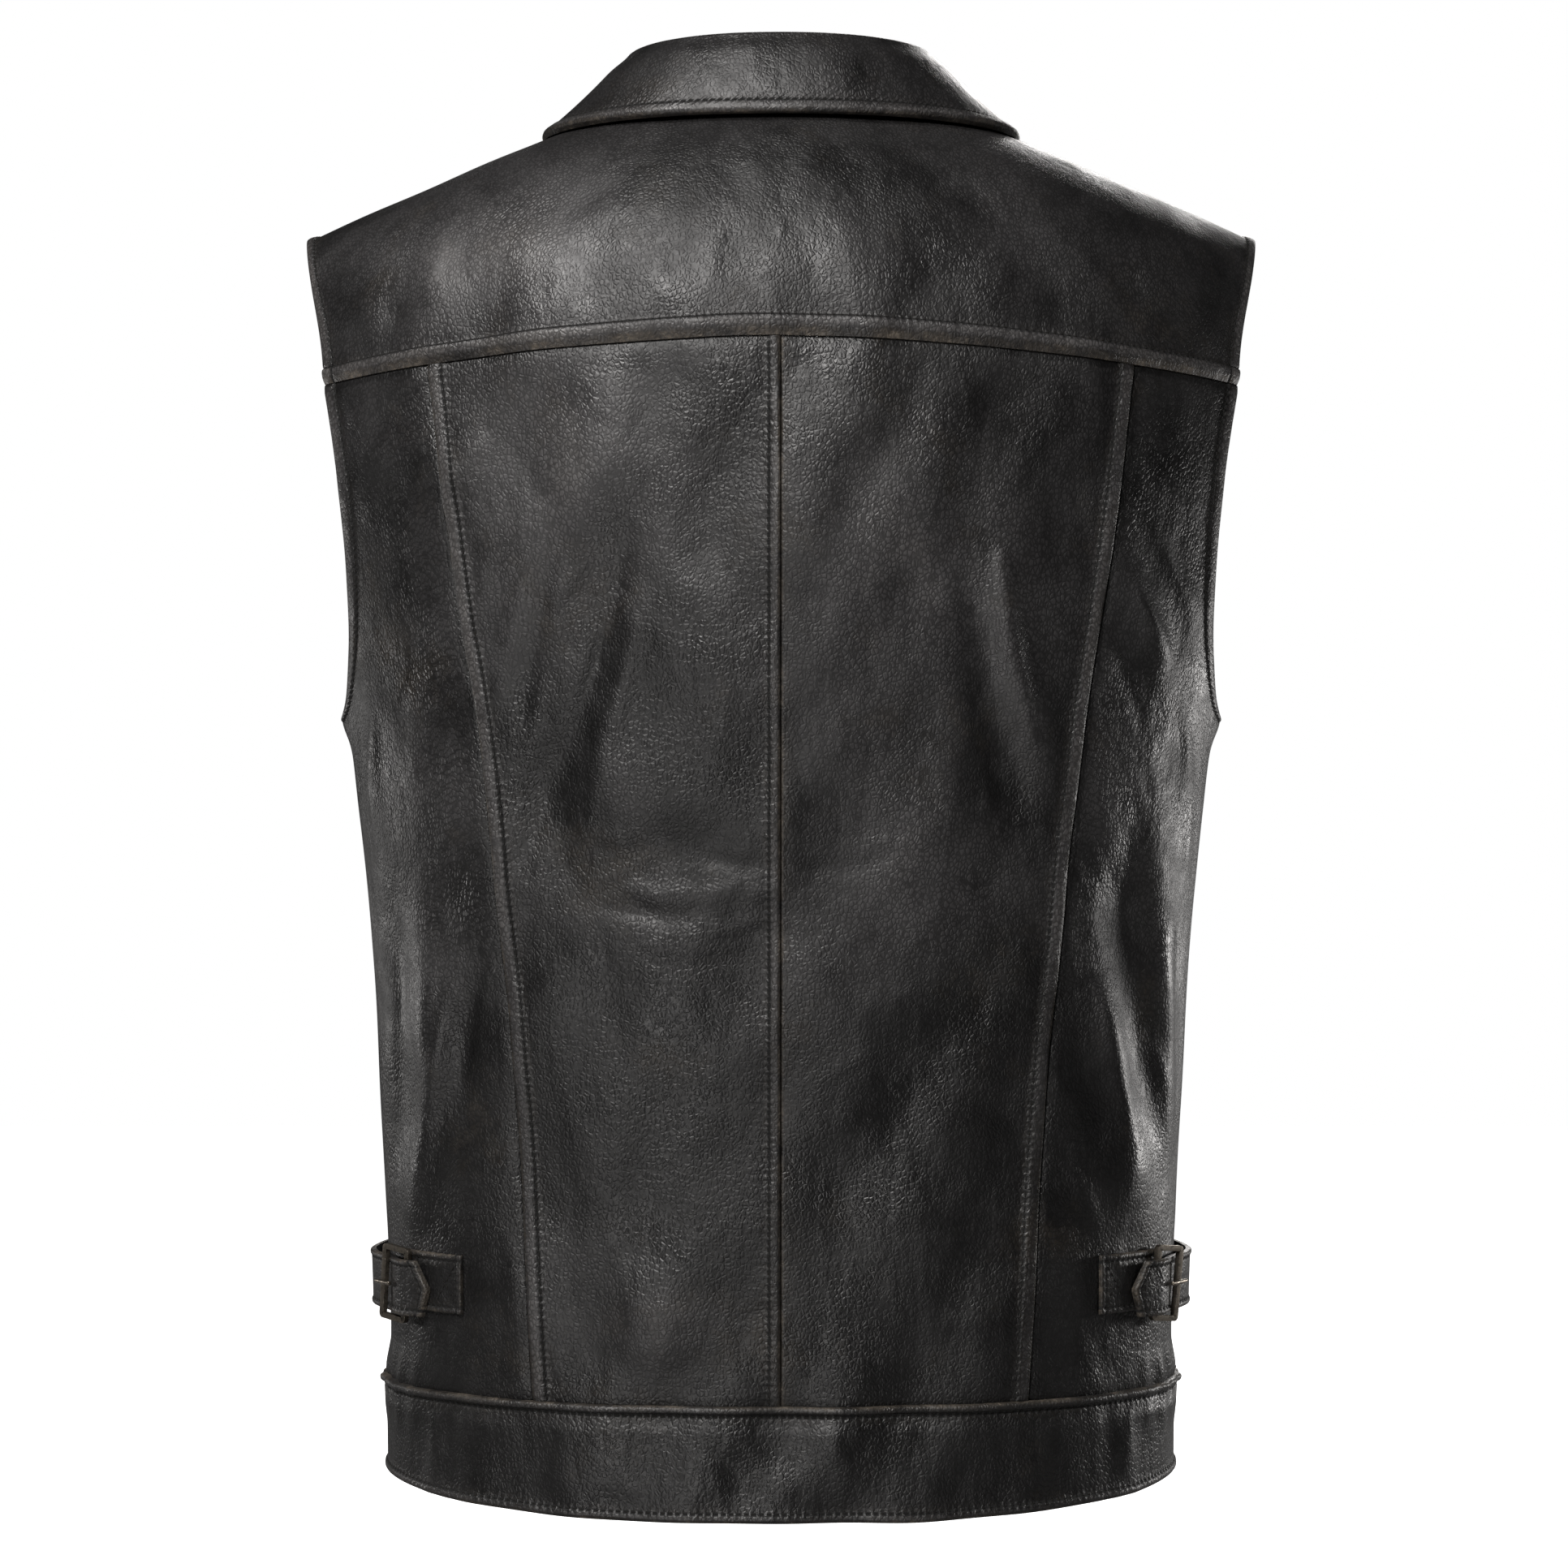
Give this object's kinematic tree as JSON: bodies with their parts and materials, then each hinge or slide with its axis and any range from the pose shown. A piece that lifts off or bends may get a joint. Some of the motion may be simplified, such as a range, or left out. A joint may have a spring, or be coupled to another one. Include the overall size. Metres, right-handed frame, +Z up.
{
  "type": "leather vest",
  "caption": "Hollow worn form of a sleeveless leather vest with a shirt collar, back yoke, waistband, buckled side adjusters and a snap front.",
  "frame": {"origin": "midway between the shoulders, on the line where the vest rests on its wearer, inside the neck opening", "axes": "+Z up, +Y towards the wearer's front, +X towards the wearer's right"},
  "size_m": [0.4526, 0.2608, 0.6772],
  "materials": {
    "leather": "charcoal black pebbled leather, semi-gloss, rubbed to olive brown along its seams and edges",
    "buckle_metal": "dark antiqued nickel, worn bright on its edges",
    "snap_metal": "dark antiqued metal, plain domed caps"
  },
  "bodies": {
    "root": {"back_yoke": "leather", "back_centre_left": "leather", "back_centre_right": "leather", "back_side_left": "leather", "back_side_right": "leather", "front_left": "leather", "front_right": "leather", "band_back": "leather", "band_front_left": "leather", "band_front_right": "leather", "collar_stand": "leather", "collar_leaf": "leather", "tab_patch_left": "leather", "tab_patch_right": "leather", "strap_left": "leather", "strap_right": "leather", "buckle_left": "buckle_metal", "buckle_right": "buckle_metal", "buckle_prong_left": "buckle_metal", "buckle_prong_right": "buckle_metal", "snap_1": "snap_metal", "snap_2": "snap_metal", "snap_3": "snap_metal", "snap_4": "snap_metal", "snap_5": "snap_metal", "snap_6": "snap_metal", "snap_7": "snap_metal"}
  },
  "joints": []
}
